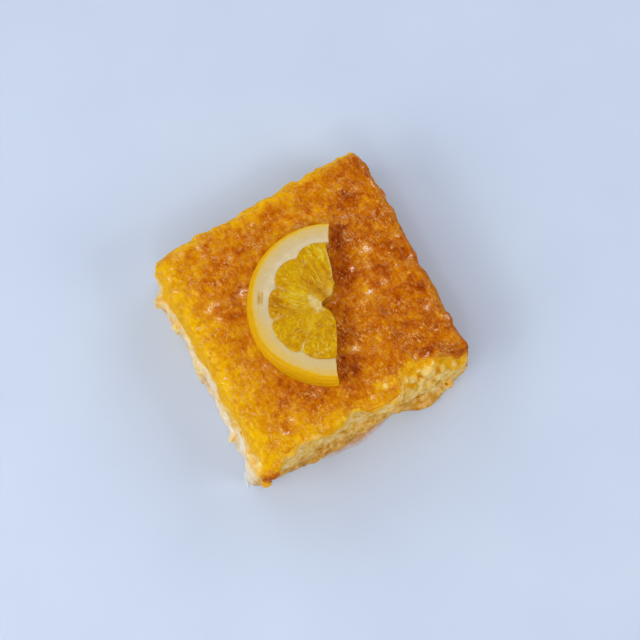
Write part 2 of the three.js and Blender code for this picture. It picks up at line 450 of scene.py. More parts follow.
def cake_finish():
    """Baked crust under syrup on top, pale open crumb at the sides, amber where syrup has soaked in; with
    painted glints and highlights, painted light on steep crust and painted shade in hollows.
    """
    soft_inside = {
        "Subsurface_Weight": 0.35,
        "Subsurface_Radius": (1.0, 0.7, 0.3),
        "Subsurface_Scale": 2.4 * MM,
        "Specular_Tint": SYRUP_GLOSS,
    }
    made = Finish("syrup_soaked_cake", IOR=1.4, Specular_IOR_Level=0.06, **soft_inside)
    ripple = made.noise(1.3, 3.0, 0.6)
    crust = made.painted("crust") + (ripple - 0.5) * 0.5
    browning_and_shade = made.painted("browning_and_shade")
    soaked = made.painted("soaked")
    # hollow: painted shade, a darker colour where the relief dips
    hollow = made.painted("hollow")
    baked = made.painted("baked")
    patches = made.noise(6.0)
    mottle = made.noise(2.8)
    threads = made.noise(1.0, turn=GLINT_TURN, stretch=2.4)
    grain = made.noise(0.55, 1.0)
    tone = browning_and_shade + (patches - 0.5) * 0.85 + (mottle - 0.5) * 0.7
    tone = tone + (threads - 0.5) * 0.4 + (grain - 0.5) * 0.35 + hollow * 0.12
    spots = made.mask(0.62, 0.74, 2.0) * made.between(tone, 0.35, 0.7)
    spotted = made.blend(made.ramp(tone, CRUST_TONES), SCORCHED, spots * 0.55)
    # Painted glints: pale specks, strokes and drops in clusters, blended into the crust's colour as
    # highlights on wet syrup; the same marks also raise fine bumps
    clusters = made.mask(0.46, 0.62, 8.5)
    strokes = made.mask(0.57, 0.7, 0.9, 1.0, turn=GLINT_TURN, stretch=2.0)
    crossing = made.mask(0.6, 0.72, 0.8, 1.0, turn=CROSSING_TURN, stretch=1.9)
    drops = made.mask(0.6, 0.78, 1.9, 1.0)
    glint_marks = made.maths("MAXIMUM", strokes, made.maths("MAXIMUM", crossing, drops))
    # Painted highlights: whitish pools of light, some at random and some at the listed spots
    random_highlight_pools = made.mask(0.66, 0.84, 2.6, 0.0) * made.mask(0.52, 0.6, 13.0, 1.0)
    broken = 0.3 + made.mask(0.38, 0.62, 0.8, 1.0)
    painted_highlights = made.painted("painted_highlight")
    bright_highlights = made.maths("MAXIMUM", random_highlight_pools * 0.6, painted_highlights) * broken
    glints = made.maths("MAXIMUM", glint_marks * (0.26 + 0.74 * clusters), bright_highlights)
    crust_with_painted_glints = made.blend(spotted, PAINTED_GLINT, glints * 0.55)
    crust_with_painted_glints = made.blend(crust_with_painted_glints, POOL_HIGHLIGHT, made.between(bright_highlights, 0.25, 1.1) * 0.75)
    crumb_tone = made.noise(2.6, 4.0, 0.6, tall=1.5)
    # Paler crumb towards the foot of the left side, more so towards the front
    paler_low_left = made.painted("paler_low_left")
    crumb = made.ramp(crumb_tone - hollow * 0.25 + paler_low_left * 0.3, CRUMB_TONES)
    crumb = made.blend(crumb, PALER_CRUMB, paler_low_left * 0.45)
    amber = made.ramp(crumb_tone - hollow * 0.2, AMBER_TONES)
    tin_side = made.ramp(mottle + hollow * 0.2, TIN_SIDE_TONES)
    fluff = made.ramp(crumb_tone, FLUFF_TONES)
    open_crumb = made.blend(made.blend(crumb, amber, soaked), fluff, made.painted("fluffy"))
    wet_crumb = made.blend(open_crumb, tin_side, baked)
    gold = made.ramp(mottle, GOLD_TONES)
    glazed = made.painted("glazed") + (mottle - 0.5) * 0.5
    rim = made.blend(wet_crumb, gold, made.between(glazed, 0.15, 0.75) * (1.0 - baked))
    top = made.between(crust, 0.35, 0.95)
    # Painted light: where the crust turns steeply down and is not browned, its colour is painted a brighter
    # yellow
    steep = made.painted("steep")
    unbrowned = 1.0 - made.between(browning_and_shade, 0.3, 0.6)
    crust_lit_where_steep = made.blend(crust_with_painted_glints, LIT_STEEP_CRUST, steep * unbrowned * 0.45)
    made.give(made.shader.inputs["Base Color"], made.blend(rim, crust_lit_where_steep, top))
    made.give(made.shader.inputs["Roughness"], 0.6 - soaked * 0.25)
    glossy_crust = made.second_surface(top * (1.0 - steep * 0.95), IOR=1.46, **soft_inside)
    made.give(glossy_crust.inputs["Base Color"], crust_with_painted_glints)
    made.give(glossy_crust.inputs["Roughness"], made.between(top, 0.3, 1.0, 0.3, 0.14) - clusters * 0.05)
    swells = made.noise(2.2, 1.0)
    pimples = made.noise(0.8, 1.0)
    crumbs = made.cells(1.3)
    crust_bumps = swells * 0.7 + glint_marks * clusters * 0.35 + threads * 0.25
    relief = (1.0 - top) * (crumbs * 0.7 + pimples * 0.6) + top * crust_bumps
    made.give(glossy_crust.inputs["Normal"], made.bump(relief, 0.5))
    return made.material


# The cake

CAKE_GRAIN = 0.55
CRUST_DEPTH = 2.4
SOAK_HEIGHT = 14.0
FRONT_SOAKS_HIGHER = 4.0
# Where the sides lie, and how much they are askew, seen from above
TIN_SIDE, TIN_SIDE_SKEW = 47.6, 0.062
LEFT_SIDE, LEFT_SIDE_SKEW = -48.1, 0.036
FRONT_SIDE, FRONT_SIDE_SKEW = -46.7, 0.034
BACK_SIDE = 50.3
LEFT_GLAZE = ((-48.0, -36.0, -18.0, -6.0, 4.0, 20.0, 50.0), (3.0, 4.0, 5.0, 8.0, 12.0, 14.0, 10.0))
FRONT_SOAK = ((-10.0, 4.0, 14.0, 18.0, 26.0, 31.0, 40.0), (1.0, 0.6, 0.6, 1.0, 1.0, 0.35, 0.25))
TEAR_START = 15.0
LEFT_FLAKES = (
    (40.4, 13.0, 4.2, 8.0, 4.2), (27.2, 12.0, 3.2, 7.0, 2.8), (6.8, 12.0, 3.8, 7.0, 2.5),
    (-24.5, 9.0, 3.2, 6.0, 2.7),
)
TEAR_EDGE = ((13.0, 17.0, 21.0, 26.5, 31.0, 35.4, 40.0, 43.5, 50.0),
             (-43.5, -41.9, -40.6, -40.6, -42.6, -44.2, -46.4, -48.4, -49.0))
TORN_LUMPS = (
    (27.6, -44.4, 31.2, 4.0), (19.2, -47.2, 28.0, 2.6), (14.6, -46.6, 29.5, 2.1), (33.4, -46.0, 28.5, 2.4),
    (38.6, -47.4, 27.0, 2.3), (23.2, -43.6, 33.0, 1.5), (22.6, -46.4, 30.0, 1.3), (31.6, -43.9, 31.8, 1.4),
    (17.0, -43.0, 33.4, 2.2), (36.0, -45.6, 30.6, 1.2), (19.6, -44.4, 31.0, 3.0), (16.2, -45.4, 28.0, 2.8),
    (23.4, -46.0, 27.4, 2.4),
)
LOWER_LUMPS = (
    (13.4, -46.2, 21.5, 3.0), (17.6, -47.8, 20.0, 3.3), (22.4, -48.0, 21.0, 3.0), (26.6, -48.2, 20.0, 3.4),
    (31.4, -47.8, 21.5, 3.2), (35.8, -47.6, 20.5, 3.2), (40.2, -46.8, 22.5, 3.0), (43.6, -45.4, 23.5, 2.4),
)
WET_LUMPS = (
    (9.2, -41.2, 35.2, 2.0), (11.2, -40.2, 35.4, 1.2), (6.0, -38.4, 35.6, 1.2), (13.4, -43.2, 34.6, 1.6),
)
BROWNED = (
    (34.4, 33.6, 4.0, 0.16), (47.0, 41.0, 6.0, 0.1), (24.0, 20.2, 3.4, 0.18), (18.6, 5.7, 4.0, 0.16),
    (33.5, 15.0, 3.2, 0.22), (32.0, 2.4, 4.0, 0.14), (42.7, 3.2, 4.5, 0.18), (40.0, -13.0, 3.5, 0.18),
    (30.0, -15.6, 4.0, 0.15), (26.4, -25.5, 5.0, 0.1), (31.8, -37.0, 5.0, 0.22), (-0.5, -26.1, 4.5, 0.16),
    (-16.1, -28.8, 6.0, 0.2), (-27.0, -23.6, 5.0, 0.14), (-28.7, 14.8, 4.0, 0.22), (-10.4, 35.1, 5.0, 0.18),
    (-20.8, 35.6, 5.0, 0.12), (-30.5, 32.7, 5.0, 0.12), (-20.2, 24.2, 4.0, 0.12), (5.6, 42.3, 4.0, 0.1),
)
# Painted highlights on the crust: x, y, reach and brightness of each
HIGHLIGHT_SPOTS = (
    (31.4, 10.7, 2.0, 1.1), (22.0, 6.0, 1.2, 1.0), (23.2, -5.3, 1.8, 1.1), (30.8, -4.6, 2.0, 0.7),
    (40.0, -22.4, 1.6, 0.7), (6.7, -22.3, 1.8, 0.7), (13.4, -26.3, 2.0, 0.5), (-28.3, -9.9, 1.6, 0.6),
    (-19.8, 20.3, 2.0, 0.9), (-35.5, 21.3, 2.1, 0.9), (-32.2, 22.2, 1.4, 0.8), (-33.8, 15.5, 1.5, 0.7),
    (-17.4, 35.5, 1.4, 0.7), (-26.0, 44.9, 1.5, 0.7), (-26.1, 41.6, 1.5, 0.6), (-33.7, 46.9, 1.8, 0.5),
    (12.6, 33.0, 1.6, 0.6), (-14.4, -29.8, 1.7, 0.5), (-30.0, -33.9, 1.9, 0.6), (31.4, 26.6, 1.5, 0.6),
    (41.5, 34.9, 1.5, 0.5), (-7.3, 38.0, 1.5, 0.5), (28.4, 4.1, 1.7, 0.6), (27.7, 20.8, 1.5, 0.5),
)
GOLDEN = ((30.3, 9.7, 2.8, 0.24), (23.3, -4.4, 3.2, 0.2), (5.5, -21.6, 2.8, 0.24), (13.6, -25.9, 4.0, 0.1))
RIGHT_EDGE = (
    (-50.0, -45.0, -41.0, -36.0, -31.0, -27.0, -17.0, -8.0, 0.0, 5.0, 15.0, 24.0, 35.0, 43.0, 50.0),
    (1.4, 1.2, 0.0, 0.4, 0.0, -0.8, 1.6, 0.9, 0.6, 0.8, 1.1, 0.9, 1.7, 1.0, 0.0),
)
BACK_EDGE = ((-50.0, -44.0, -34.0, -25.0, -16.0, -8.0, 0.0, 14.0, 25.0, 37.0, 42.0, 46.0, 50.0),
             (-0.7, -0.5, 0.9, 2.1, 1.7, 0.6, 0.0, 1.1, 0.5, 1.2, 1.4, -0.4, -0.8))
LEFT_FOOT = (
    (-46.0, -40.0, -33.0, -25.0, -18.0, -10.0, -3.0, 7.0, 14.0, 20.0, 26.0, 33.0, 39.0, 43.0, 47.0, 51.0),
    (2.2, 2.3, 0.2, -0.2, 0.7, 1.9, -0.3, 0.3, 0.3, 0.2, -0.2, 0.2, 0.8, -0.6, -1.6, -1.4),
)
FRONT_FOOT = ((-50.0, -44.0, -36.0, -26.0, -20.0, -12.0, -4.0, 3.0, 9.0, 18.0, 26.0, 36.0, 44.0),
              (0.2, 0.9, 0.6, 0.2, -0.6, -1.1, -1.2, -0.8, 0.0, 0.8, 0.6, 0.2, 0.4))
FRONT_EDGE = ((-50.0, -36.0, -31.0, -24.0, -19.0, -14.0, -8.0, -3.0),
              (0.0, 0.3, 1.0, 0.8, 2.4, 1.7, 0.6, 0.0))
BROWN_SCRAP = (-47.2, -47.6, 31.5)
SCRAP_TAIL = (-51.2, -48.6, 29.5)
SCRAP_MIDDLE = (-46.2, -47.2, 33.0)
SCRAP_SHIFT = (-0.4, -2.3, 0.0)
TAIL_TIP = (-52.2, -51.6, 29.5)
TAIL_SHIFT = (-0.6, 1.3, 0.0)
BARE_CORNER = (-51.0, -40.8, 33.5)
RIGHT_TIP = (44.0, -45.5, 31.0)
WET_SPOT = (11.0, -40.6)


def in_slice_frame(points):
    """The points in the half slice's own frame, seen from above."""
    x, y = (points[:, :2] - SLICE_CENTRE).T
    return np.stack(rotated(x, y, -SLICE_TURN), -1)


def beside_slice(points):
    """How far a point is outside the half slice's outline, seen from above; below 0 is under it."""
    local = in_slice_frame(points)
    return np.maximum(np.linalg.norm(local, axis=-1) - PEEL_RADIUS, local[:, 0] - 2.0)


def turned(points, degrees, stretch):
    """The points turned about the vertical and squeezed along the new x, so noise runs in threads."""
    x, y, z = points.T
    along, across = rotated(x, y, -math.radians(degrees))
    return np.stack([along / stretch, across, z], -1)


def crust_relief(points):
    """Lumps, and shreds of pastry that lie every way, baked into the crust."""
    lumps = 0.45 * (puffs(points, 5.2, 3) - 0.4) + 0.3 * (puffs(points, 2.9, 4) - 0.4)
    drift = 2.5 * jitter(points, 7.0, 11)
    shreds = np.zeros(len(points))
    for index, degrees in enumerate((20.0, 75.0, 130.0)):
        here = ease((noise(points, 6.5, 21 + index) - 0.42) / 0.2)
        thread = ridges(turned(points + drift, degrees, 3.6), 1.8, 31 + index)
        shreds = np.maximum(shreds, here * ease((thread - 0.45) / 0.5))
    fine = 0.25 * (noise(points, 1.4, 5) - 0.5)
    return lumps + 0.3 * (shreds - 0.3) + fine


def crumb_relief(points):
    """Fluffy crumb with open bubbles in it."""
    fluff = 0.9 * (puffs(points, 4.0, 41) - 0.3) + 0.6 * (puffs(points, 2.1, 42) - 0.3)
    ragged = 0.25 * (noise(points, 1.0, 53) - 0.5)
    away, number = nearest_spot(points * (1.0, 1.0, 1.4), 3.4, 51)
    bubbles = ease((0.5 * number**2 - away + ragged) / 0.22)
    pore_away, pore = nearest_spot(points, 1.9, 52)
    pores = ease((0.42 * pore - 0.1 - pore_away + ragged) / 0.25)
    return 0.15 + fluff - bubbles - 0.45 * pores + 0.3 * (noise(points, 1.2, 43) - 0.5)


def lumps_at(points, places):
    """Soft lumps of crumb that stand up at some places, from 0 between them to 1."""
    unevenness = 1.0 + 0.8 * (noise(points, 1.5, 55) - 0.5) + 0.7 * (noise(points, 3.0, 56) - 0.5)
    lumps = np.zeros(len(points))
    for x, y, z, size in places:
        away = np.linalg.norm(points - (x, y, z), axis=-1) * unevenness / size
        lumps = np.maximum(lumps, size / 3.5 * np.clip(1.0 - away**2, 0.0, 1.0) ** 0.7)
    return lumps


def torn_relief(points):
    """Crumb torn open: tall lumps at the crust and a lower bench of them above the foot."""
    crumbs = 0.9 * (puffs(points, 2.4, 44) - 0.35) + 0.5 * (noise(points, 1.3, 46) - 0.5)
    return 2.4 * lumps_at(points, TORN_LUMPS) + 2.6 * lumps_at(points, LOWER_LUMPS) - 0.3 + crumbs


def left_flakes(points):
    """Loose flakes that stand out of the left side, above its foot: where they are and how far out."""
    ragged = 0.7 * (noise(points, 1.7, 45) - 0.5)
    cover = np.zeros(len(points))
    lift = np.zeros(len(points))
    for y, z, half_length, half_height, stand in LEFT_FLAKES:
        away = np.hypot((points[:, 1] - y) / half_length, (points[:, 2] - z) / half_height) + ragged
        cover = np.maximum(cover, ease((1.0 - away) / 0.4))
        lift = np.maximum(lift, stand * ease((1.0 - away) / 0.8))
    return cover, lift


def distance_to(points, marked, others):
    """For the marked points, how far the nearest of the others is."""
    tree = KDTree(int(others.sum()))
    for index, spot in enumerate(points[others]):
        tree.insert(spot, index)
    tree.balance()
    away = np.full(len(points), 99.0)
    away[marked] = [tree.find(spot)[2] for spot in points[marked]]
    return away


def trued(points, normals):
    """The tin side brought upright, and the edges drawn out or in to where they lie in the photograph."""
    moved = points.copy()
    x, y, z = points.T
    right = ease((normals[:, 0] - 0.2) / 0.3)
    high = ease((z - 29.0) / 3.0)
    low = 1.0 - ease((z - 20.0) / 10.0)
    edge = TIN_SIDE + TIN_SIDE_SKEW * y
    lean = np.maximum(x - (edge + 0.6 + 0.05 * (CRUST_LEVEL - z)), 0.0)
    moved[:, 0] -= right * (1.0 - high) * lean * 0.8
    moved[:, 0] += ease((x - 38.0) / 8.0) * (high + 0.6 * right * (1.0 - high)) * np.interp(y, *RIGHT_EDGE)
    moved[:, 1] += ease((y - 40.0) / 9.0) * (0.4 + 0.6 * high) * np.interp(x, *BACK_EDGE)
    moved[:, 0] -= ease((-40.0 - x) / 6.0) * (0.25 + 0.75 * low) * np.interp(y, *LEFT_FOOT)
    moved[:, 1] -= ease((-38.0 - y) / 6.0) * low * np.interp(x, *FRONT_FOOT)
    moved[:, 1] -= ease((-38.0 - y) / 6.0) * high * np.interp(x, *FRONT_EDGE)
    moved += near(points, SCRAP_MIDDLE, (5.0, 3.0, 4.0))[:, None] * SCRAP_SHIFT
    moved += near(points, TAIL_TIP, (2.4, 2.4, 3.0))[:, None] * TAIL_SHIFT
    return moved


def browning_and_shadow_of(points, crust):
    """How browned the crust is, with a painted shadow of the slice along its cut edge, from 0 for yellow to
    1 for dark, as it lies in the photograph.
    """
    local = in_slice_frame(points)
    wander = 6.0 * (noise(points, 9.0, 75) - 0.5)
    left = points[:, 0] - (LEFT_SIDE + LEFT_SIDE_SKEW * points[:, 1]) + wander
    back = BACK_SIDE - points[:, 1] + wander * 0.4
    front = points[:, 1] - FRONT_SIDE + FRONT_SIDE_SKEW * points[:, 0] + wander
    at_tear = (points[:, 0] > 8.0) & (points[:, 0] < 45.0) & (points[:, 1] < -25.0)
    to_crumb = distance_to(points, (crust > 0.5) & at_tear, (crust < 0.5) & at_tear & (points[:, 2] > 24.0))
    at_front = 0.28 * ease((TEAR_START - points[:, 0]) / 10.0)
    edges = ((0.4, left, 11.0), (0.32, back, 4.5), (at_front, front, 9.0), (0.36, to_crumb, 2.2))
    yellow = np.maximum.reduce([
        amount * fade(np.maximum(away, 0.0), reach) for amount, away, reach in edges
    ])
    right_half = ease((local[:, 0] - 1.0) / 6.0)
    # Painted shadow of the slice along its cut edge, together with browning there
    cut_shadow_and_browning = fade(local[:, 0] - 5.0, 5.5) * (np.abs(local[:, 1]) < 34.0)
    off_core = ease((np.abs(local[:, 1] + 1.0) - 4.0) / 5.0)
    browned = 0.46 + 0.13 * right_half + 0.2 * cut_shadow_and_browning * (0.35 + 0.65 * off_core) - yellow
    ragged = points + 3.0 * jitter(points, 3.5, 76)
    for sign, spots in ((1.3, BROWNED), (-1.3, GOLDEN)):
        for x, y, reach, amount in spots:
            browned += sign * amount * near(ragged, (x, y, CRUST_LEVEL), (reach, reach, 9.0))
    tip = 0.3 * near(ragged, RIGHT_TIP, (4.0, 3.0, 6.0))
    scrap = near(points, BROWN_SCRAP, (4.0, 2.4, 4.0))
    tail = 0.4 * near(points, SCRAP_TAIL, (3.0, 2.6, 5.0))
    return browned + tip + scrap + tail


def painted_highlights_of(points):
    """Painted highlights where syrup has pooled and catches the light: 1 at a pool's middle."""
    ragged = points + 1.6 * jitter(points, 1.8, 66)
    painted_highlight = np.zeros(len(points))
    for x, y, reach, amount in HIGHLIGHT_SPOTS:
        painted_highlight = np.maximum(painted_highlight, amount * near(ragged, (x, y, CRUST_LEVEL), (reach, 0.8 * reach, 4.0)))
    return painted_highlight


def wet_zone(points):
    """Where syrup has turned the crust yellow beside the tear: 1 at its middle."""
    ragged = 3.0 * (noise(points, 3.0, 79) - 0.5)
    along = (points[:, 0] - WET_SPOT[0] + ragged) / 8.0
    across = (points[:, 1] - WET_SPOT[1] + ragged * 0.5) / 3.4
    return 1.6 * (1.0 - np.hypot(along, across))


def cake_piece():
    """The cake: crust on top and over the left side's edge, crumb below, torn open at the front right."""
    mesh = fine_copy("cake", CAKE_GRAIN)
    smooth_skin(mesh, 2)
    points = points_of(mesh)
    normals = normals_of(mesh)
    left_face = ease((-normals[:, 0] - 0.3) / 0.4)
    front_face = ease(-normals[:, 1] / 0.5)
    flakes, flake_lift = (values * left_face for values in left_flakes(points))
    glaze = np.interp(points[:, 1], *LEFT_GLAZE) * (0.4 + 1.2 * noise(points, 5.0, 60))
    depth = CRUST_DEPTH + left_face * glaze
    ragged = 1.6 * (puffs(points * (1, 1, 0.3), 5.0, 61) - 0.4) + 1.0 * (noise(points, 1.8, 62) - 0.5)
    lip = ease((points[:, 2] - CRUST_LEVEL + depth + ragged) / 1.6)
    at_tear = ease((points[:, 0] - TEAR_START) / 2.0) * ease((-34.0 - points[:, 1]) / 2.0)
    level = ease((normals[:, 2] - 0.55) / 0.25) * ease((points[:, 2] - 29.0) / 2.0)
    over_tear = ease((points[:, 1] - np.interp(points[:, 0], *TEAR_EDGE) + 0.8 * ragged) / 1.8)
    over_tear = over_tear * ease((points[:, 2] - 26.5) / 1.5)
    top_crust = np.maximum(lip, level) * (1.0 - at_tear) + over_tear * at_tear
    scrap = near(points, BROWN_SCRAP, (4.5, 3.6, 5.0))
    ragged_spot = points + 1.6 * (noise(points, 1.6, 65) - 0.5)[:, None]
    bare = ease((1.25 * near(ragged_spot, BARE_CORNER, (3.4, 5.2, 7.0)) - 0.35) / 0.4)
    top_crust = top_crust * (1.0 - flakes) * (1.0 - bare)
    crust = np.clip(top_crust + ease((scrap - 0.3) / 0.3), 0.0, 1.0)
    baked = ease((normals[:, 0] - 0.35) / 0.3) * ease((points[:, 0] - 38.0) / 4.0)
    torn = at_tear * (1.0 - crust) * ease((points[:, 2] - 10.0) / 4.0) * (1.0 - baked)
    under_slice = 1.0 - ease(beside_slice(points) / 1.2)
    flat = ease(points[:, 2] / 2.0)
    side = crumb_relief(points) * (1.0 - 0.7 * baked)
    side = side + (torn_relief(points) - side) * torn + flake_lift
    wet_lumps = lumps_at(points, WET_LUMPS)
    top = crust_relief(points) + 0.8 * scrap * (noise(points, 1.5, 64) - 0.5) + 0.8 * wet_lumps
    relief = crust * top + (1.0 - crust) * side
    relief = np.where(under_slice > 0.5, np.minimum(relief * 0.3, 0.1), relief)
    moved = trued(points, normals) + normals * (relief * flat)[:, None]
    set_points(mesh, moved)
    to_crust = distance_to(points, (crust < 0.6) & (points[:, 2] > 18.0), crust > 0.6)
    back_face = ease((normals[:, 1] - 0.3) / 0.4)
    reach = 0.8 + 4.6 * torn + 0.4 * left_face + 2.2 * back_face + 2.5 * (noise(points, 5.0, 63) - 0.5)
    glazed = fade(to_crust, np.maximum(reach, 0.4)) * (1.0 - baked)
    all_lumps = lumps_at(points, TORN_LUMPS) + 0.8 * lumps_at(points, LOWER_LUMPS)
    ragged_lumps = 0.6 + 0.8 * noise(points, 1.5, 57)
    crumbled = all_lumps * ragged_lumps + 0.3 * (noise(points, 0.9, 58) - 0.5)
    wet_cover = 0.7 * ease((wet_lumps * ragged_lumps - 0.2) / 0.3)
    lumps = np.maximum(ease((crumbled - 0.14) / 0.36) * torn, wet_cover)
    glazed = np.maximum(glazed, 0.8 * torn * ease((points[:, 2] - 23.0) / 4.0))
    glazed = np.maximum(glazed, 0.45 * front_face * fade(to_crust, 5.0) * (1.0 - baked))
    uneven_height = points[:, 2] + 3.0 - 12.0 * noise(points, 6.0, 71)
    soak = uneven_height / (SOAK_HEIGHT + FRONT_SOAKS_HIGHER * front_face)
    less_soaked = 1.0 - np.interp(points[:, 0], *FRONT_SOAK)
    soaked = (1.0 - ease(soak)) * (0.25 + 0.75 * front_face) * (1.0 - 0.7 * flakes)
    soaked = soaked * (1.0 - less_soaked * ease((-36.0 - points[:, 1]) / 6.0))
    paint(mesh, "crust", crust * (1.0 - 0.8 * ease((wet_lumps - 0.3) / 0.3)))
    paint(mesh, "browning_and_shade", browning_and_shadow_of(points, crust) - 0.3 * ease(wet_zone(points)))
    paint(mesh, "soaked", soaked)
    paint(mesh, "painted_highlight", painted_highlights_of(points) * crust)
    # Painted shade: how deep a point lies in the relief's hollows, which the material darkens
    paint(mesh, "hollow", ease(-(relief + 0.15) / 0.8))
    paint(mesh, "baked", baked)
    paint(mesh, "steep", ease((0.8 - normals[:, 2]) / 0.4))
    # The left side is painted paler towards its foot and towards the front
    low_left = ease((26.0 - points[:, 2]) / 12.0) * ease((-30.0 - points[:, 0]) / 10.0)
    near_front = 0.3 + 0.55 * ease((36.0 - points[:, 1]) / 50.0)
    paint(mesh, "paler_low_left", left_face * low_left * near_front)
    dry = np.maximum.reduce([0.8 * lumps, flakes, 0.8 * bare])
    paint(mesh, "glazed", glazed * (1.0 - 0.9 * dry))
    paint(mesh, "fluffy", np.maximum.reduce([0.95 * lumps, 0.7 * flakes, 0.8 * bare]))
    one_flat_foot(mesh)
    finished_piece("cake_body", mesh, cake_finish(), "cake")


# The half slice of orange

SLICE_GRAIN = 0.34
CORE = np.array([-5.4, -0.2])
CORE_REACH = (3.4, 1.9)
CORE_TURN = math.radians(-56.0)
FLESH_HEIGHT = 6.45
FLESH_SKIN = 0.3
FLESH_WIDTH, FLESH_SKIRT = 27.5, 6.0
FLESH_START, FLESH_LENGTH = -23.5, 50.0
MEMBRANE_WIDTH = 0.34
MEMBRANES = {110.0: 0.35, 152.5: 0.55, 198.0: 0.5, 250.3: 1.0}
# Darker and lighter patches of flesh: x, y, reach and amount. Most are its own tone; the dark line along the
# wall between the top two segments is painted shade
FLESH_TONES_AND_SHADE = (
    (-20.7, 0.6, 4.0, -0.3), (-1.5, 2.8, 1.9, -0.35), (-4.2, 4.8, 1.7, -0.28), (-6.8, 7.2, 1.7, -0.3),
    (-9.0, 9.9, 1.8, -0.25), (-7.5, -8.0, 2.8, 0.2), (-5.7, 20.0, 3.5, 0.25), (-11.6, 4.5, 3.2, 0.3),
    (-14.5, 1.9, 2.6, 0.25), (-4.6, -9.5, 1.8, -0.3), (-17.0, 13.1, 3.0, 0.1), (-3.5, -16.0, 4.0, 0.1),
)
SOLID_EDGE_Y = (-33.0, -29.5, -22.4, -15.3, -8.0, -2.1, 0.0, 2.3, 4.1, 8.4, 10.9, 22.8, 26.6, 33.0)
SOLID_EDGE_X = (2.0, 1.9, 1.2, 2.1, 2.3, -0.7, -2.9, -0.5, 1.6, 2.3, 1.7, -0.2, 1.5, 1.7)
CUT_EDGE_Y = (-33.0, -29.4, -22.5, -19.0, -12.0, -8.9, -5.9, -3.7, -2.2, -1.6, 0.6, 1.4, 2.5, 4.6, 6.8,
              8.2, 9.6, 14.3, 17.3, 20.8, 23.3, 25.3, 27.8, 33.0)
CUT_EDGE_X = (2.0, 2.0, 1.3, 1.8, 2.1, 2.1, 1.4, 0.1, -1.4, -3.3, -3.3, -1.8, 0.3, 1.6, 1.9,
              2.7, 1.8, 1.4, 0.8, 0.1, -0.4, 0.6, 1.3, 1.7)
FLESH_ANGLES = (80.0, 93.0, 105.0, 117.0, 123.0, 128.0, 141.0, 154.0, 161.0, 165.0, 186.0, 192.0,
                194.5, 197.0, 210.0, 227.0, 235.0, 237.5, 241.0, 249.0, 264.0, 285.0)
FLESH_RADII = (24.8, 24.8, 25.4, 23.9, 22.3, 23.7, 24.5, 23.7, 21.5, 23.5, 24.5, 24.3,
               22.4, 24.3, 25.1, 24.7, 23.8, 21.6, 22.9, 23.5, 22.5, 22.4)
RIND_ANGLES = (80.0, 95.0, 115.0, 140.0, 165.0, 185.0, 205.0, 222.0, 245.0, 265.0, 285.0)
RIND_RADII = (32.4, 32.2, 32.0, 31.7, 31.2, 30.9, 31.2, 30.6, 29.6, 30.2, 30.8)
SLIT = np.array([-27.4, 3.3])
FOLD_TURN = math.radians(32.0)
PITH_TONES = (
    (0.08, 222, 204, 170), (0.2, 212, 188, 144), (0.34, 216, 187, 122), (0.56, 224, 186, 84),
    (0.74, 226, 178, 30), (0.9, 222, 164, 0),
)
PITH_CLOUD = linear(206, 186, 140)
JUICE_STAIN = linear(216, 162, 40)
SLIT_BROWN = linear(180, 136, 24)
LIT_RIND_SIDE = linear(252, 192, 6)
PITH_FIBRE = linear(232, 218, 184)
FLESH_COLOURS = ((0.1, 188, 112, 0), (0.35, 214, 146, 0), (0.6, 232, 170, 0), (0.9, 250, 206, 40))
LIT_SAC = linear(248, 222, 130)
MEMBRANE_TONES = ((0.3, 226, 172, 80), (0.65, 244, 208, 146))


def smoothly(spots, heights, at, step):
    """Heights between spots with their corners rounded off by a step."""
    return sum(np.interp(at + shift, spots, heights) for shift in (-step, 0.0, step)) / 3.0


def cut_edge(y):
    """The wavy cut edge of the slice: its x for a y along it."""
    return smoothly(CUT_EDGE_Y, CUT_EDGE_X, y, 0.6)


def angle_of(local):
    return np.degrees(np.arctan2(local[:, 1], local[:, 0])) % 360.0


def flesh_reach(local):
    """How far the flesh reaches from the slice's centre in a point's direction."""
    angle = angle_of(local)
    reach = smoothly(FLESH_ANGLES, FLESH_RADII, angle, 1.2)
    spots = np.stack([np.cos(np.radians(angle)), np.sin(np.radians(angle)), np.zeros(len(angle))], -1)
    return reach + 0.5 * (noise(spots * 24.0, 2.2, 84) - 0.5)


def to_place(local, height):
    """Points of the half slice's own frame, put where it lies."""
    x, y = rotated(local[:, 0], local[:, 1], SLICE_TURN)
    return np.stack([x + SLICE_CENTRE[0], y + SLICE_CENTRE[1], SLICE_LOW[2] + height], -1)


